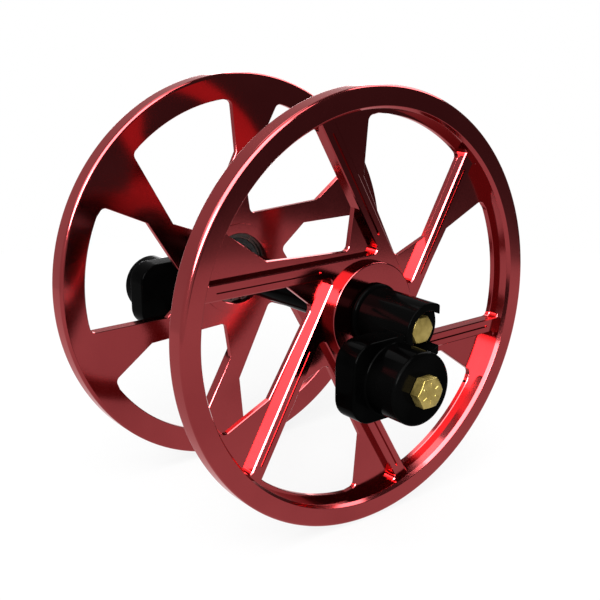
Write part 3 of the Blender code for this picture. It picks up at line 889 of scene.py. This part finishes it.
def ground_steel_painted_shade():
    nodes = Nodes("ground_steel_painted_shade")
    streaks = nodes.noise(120, 2.0, (12, 1, 1))
    # Near-black steel tones: painted shade of the deep hub recess, not the steel's own colour.
    colour = nodes.toned(streaks, STEEL_TONES_WITH_PAINTED_SHADE)
    marks = nodes.bump(turning_marks(nodes, 0.0002, 0.0001), 0.05, 0.00001)
    return nodes.shade(base_color=colour, metallic=1.0, roughness=nodes.ranged(streaks, *STEEL_ROUGHNESS),
                       normal=marks)


def seal_rubber():
    nodes = Nodes("seal_rubber")
    dust = nodes.noise(500, 4.0)
    colour = nodes.toned(dust, RUBBER_TONES)
    grain = nodes.bump(dust, 0.2, 0.00005)
    return nodes.shade(base_color=colour, roughness=nodes.ranged(dust, *RUBBER_ROUGHNESS),
                       specular_ior_level=RUBBER_GLOSS, normal=grain)


def cage_bronze():
    nodes = Nodes("cage_bronze")
    cloud = nodes.noise(200, 3.0)
    colour = nodes.toned(cloud, BRONZE_TONES)
    grain = nodes.bump(nodes.noise(1200, 2.0), 0.1, 0.00003)
    return nodes.shade(base_color=colour, metallic=1.0, roughness=nodes.ranged(cloud, *BRONZE_ROUGHNESS),
                       normal=grain)


# ---------------------------------------------------------------- the object

def build_object():
    finishes = {
        "red_anodised": red_anodised(), "black_coat": gloss_black(), "bearing_steel": ground_steel_painted_shade(),
        "cage_bronze": cage_bronze(), "seal_rubber": seal_rubber(), "yellow_zinc": yellow_zinc()}
    for node, obj in frame["nodes"].items():
        obj.data.materials.clear()
        obj.data.materials.append(finishes[slot_of(node)])
    make_wheels(finishes["red_anodised"])
    make_bearing_rings(finishes["bearing_steel"])
    make_seals(finishes["seal_rubber"])
    make_snap_rings(finishes["bearing_steel"])
    make_shaft(finishes["black_coat"])
    make_collars(finishes["black_coat"])
    both_sides("end_bracket", bracket_mesh(), finishes["black_coat"])
    make_bolts(finishes["yellow_zinc"])
    make_washers(finishes["black_coat"])


# ---------------------------------------------------------------- stage

def make_floor():
    nodes = Nodes("floor_white")
    nodes.shade(base_color=FLOOR_TONE, roughness=0.9, specular_ior_level=0.0,
                emission_color=WHITE, emission_strength=FLOOR_GLOW)
    bm = bmesh.new()
    bmesh.ops.create_circle(bm, cap_ends=True, segments=96, radius=FLOOR_RADIUS)
    mesh = bpy.data.meshes.new("floor")
    bm.to_mesh(mesh)
    bm.free()
    mesh.materials.append(nodes.material)
    floor = bpy.data.objects.new("floor", mesh)
    bpy.context.scene.collection.objects.link(floor)
    floor.location.z = cad_low.z - FLOOR_DROP


def direction(azimuth, elevation):
    """The unit vector towards an azimuth from +X and an elevation, in degrees."""
    turn, rise = math.radians(azimuth), math.radians(elevation)
    return Vector((math.cos(turn) * math.cos(rise), math.sin(turn) * math.cos(rise), math.sin(rise)))


def make_camera():
    camera = bpy.data.objects.new("camera", bpy.data.cameras.new("camera"))
    bpy.context.scene.collection.objects.link(camera)
    camera.data.lens = CAMERA_LENS
    camera.data.clip_start = CAMERA_NEAREST
    camera.location = CAMERA_PLACE
    camera.rotation_mode = "QUATERNION"
    camera.rotation_quaternion = Vector(CAMERA_FORWARD).to_track_quat("-Z", "Y")
    bpy.context.scene.camera = camera


def add_round_light(name, azimuth, elevation, spread, radiance):
    """A round softbox at a great distance, spread degrees across. It lights all places alike."""
    light = bpy.data.lights.new(name, "SUN")
    light.angle = math.radians(spread)
    light.energy = radiance * math.pi * math.sin(light.angle / 2) ** 2
    lamp = bpy.data.objects.new(name, light)
    bpy.context.scene.collection.objects.link(lamp)
    lamp.rotation_euler = direction(azimuth, elevation).to_track_quat("Z", "Y").to_euler()
    lamp.visible_camera = False


def make_lights():
    add_round_light("key_light", -42, 46, 70, 15.0)
    add_round_light("key_core", -42, 23, 24, 60.0)
    add_round_light("top_light", 0, 86, 30, 7.0)
    add_round_light("back_light", 102, 40, 36, 10.0)
    add_round_light("low_back_light", 146, 0, 24, 4.0)
    add_round_light("left_back_light", 172, 52, 24, 4.0)
    add_round_light("left_front_light", -115, 36, 24, 3.0)


def make_world():
    """A plain white backdrop for the camera, and a pale room with one dark wall for the rest."""
    world = bpy.data.worlds.new("studio")
    bpy.context.scene.world = world
    world.use_nodes = True
    nodes, links = world.node_tree.nodes, world.node_tree.links
    towards = nodes.new("ShaderNodeTexCoord").outputs["Generated"]
    facing = nodes.new("ShaderNodeVectorMath")
    facing.operation = "DOT_PRODUCT"
    facing.inputs[1].default_value = direction(*DARK_WALL)
    rising = nodes.new("ShaderNodeSeparateXYZ")
    links.new(towards, facing.inputs[0])
    links.new(towards, rising.inputs[0])
    brighter = nodes.new("ShaderNodeMath")
    brighter.operation = "MAXIMUM"
    fades = ((facing.outputs["Value"], DARK_RANGE), (rising.outputs["Z"], GROUND_RANGE))
    for (value, limits), side in zip(fades, brighter.inputs):
        tone = nodes.new("ShaderNodeMapRange")
        tone.interpolation_type = "SMOOTHSTEP"
        for name, limit in zip(("From Min", "From Max", "To Min", "To Max"), limits):
            tone.inputs[name].default_value = limit
        links.new(value, tone.inputs["Value"])
        links.new(tone.outputs["Result"], side)
    room = nodes["Background"]
    links.new(brighter.outputs[0], room.inputs["Strength"])
    room.inputs["Color"].default_value = WHITE
    white = nodes.new("ShaderNodeBackground")
    white.inputs["Color"].default_value = WHITE
    path = nodes.new("ShaderNodeLightPath")
    mix = nodes.new("ShaderNodeMixShader")
    links.new(path.outputs["Is Camera Ray"], mix.inputs[0])
    links.new(room.outputs[0], mix.inputs[1])
    links.new(white.outputs[0], mix.inputs[2])
    links.new(mix.outputs[0], nodes["World Output"].inputs["Surface"])


make_camera()
build_object()
make_floor()
make_lights()
make_world()
bpy.context.scene.view_settings.view_transform = "Standard"
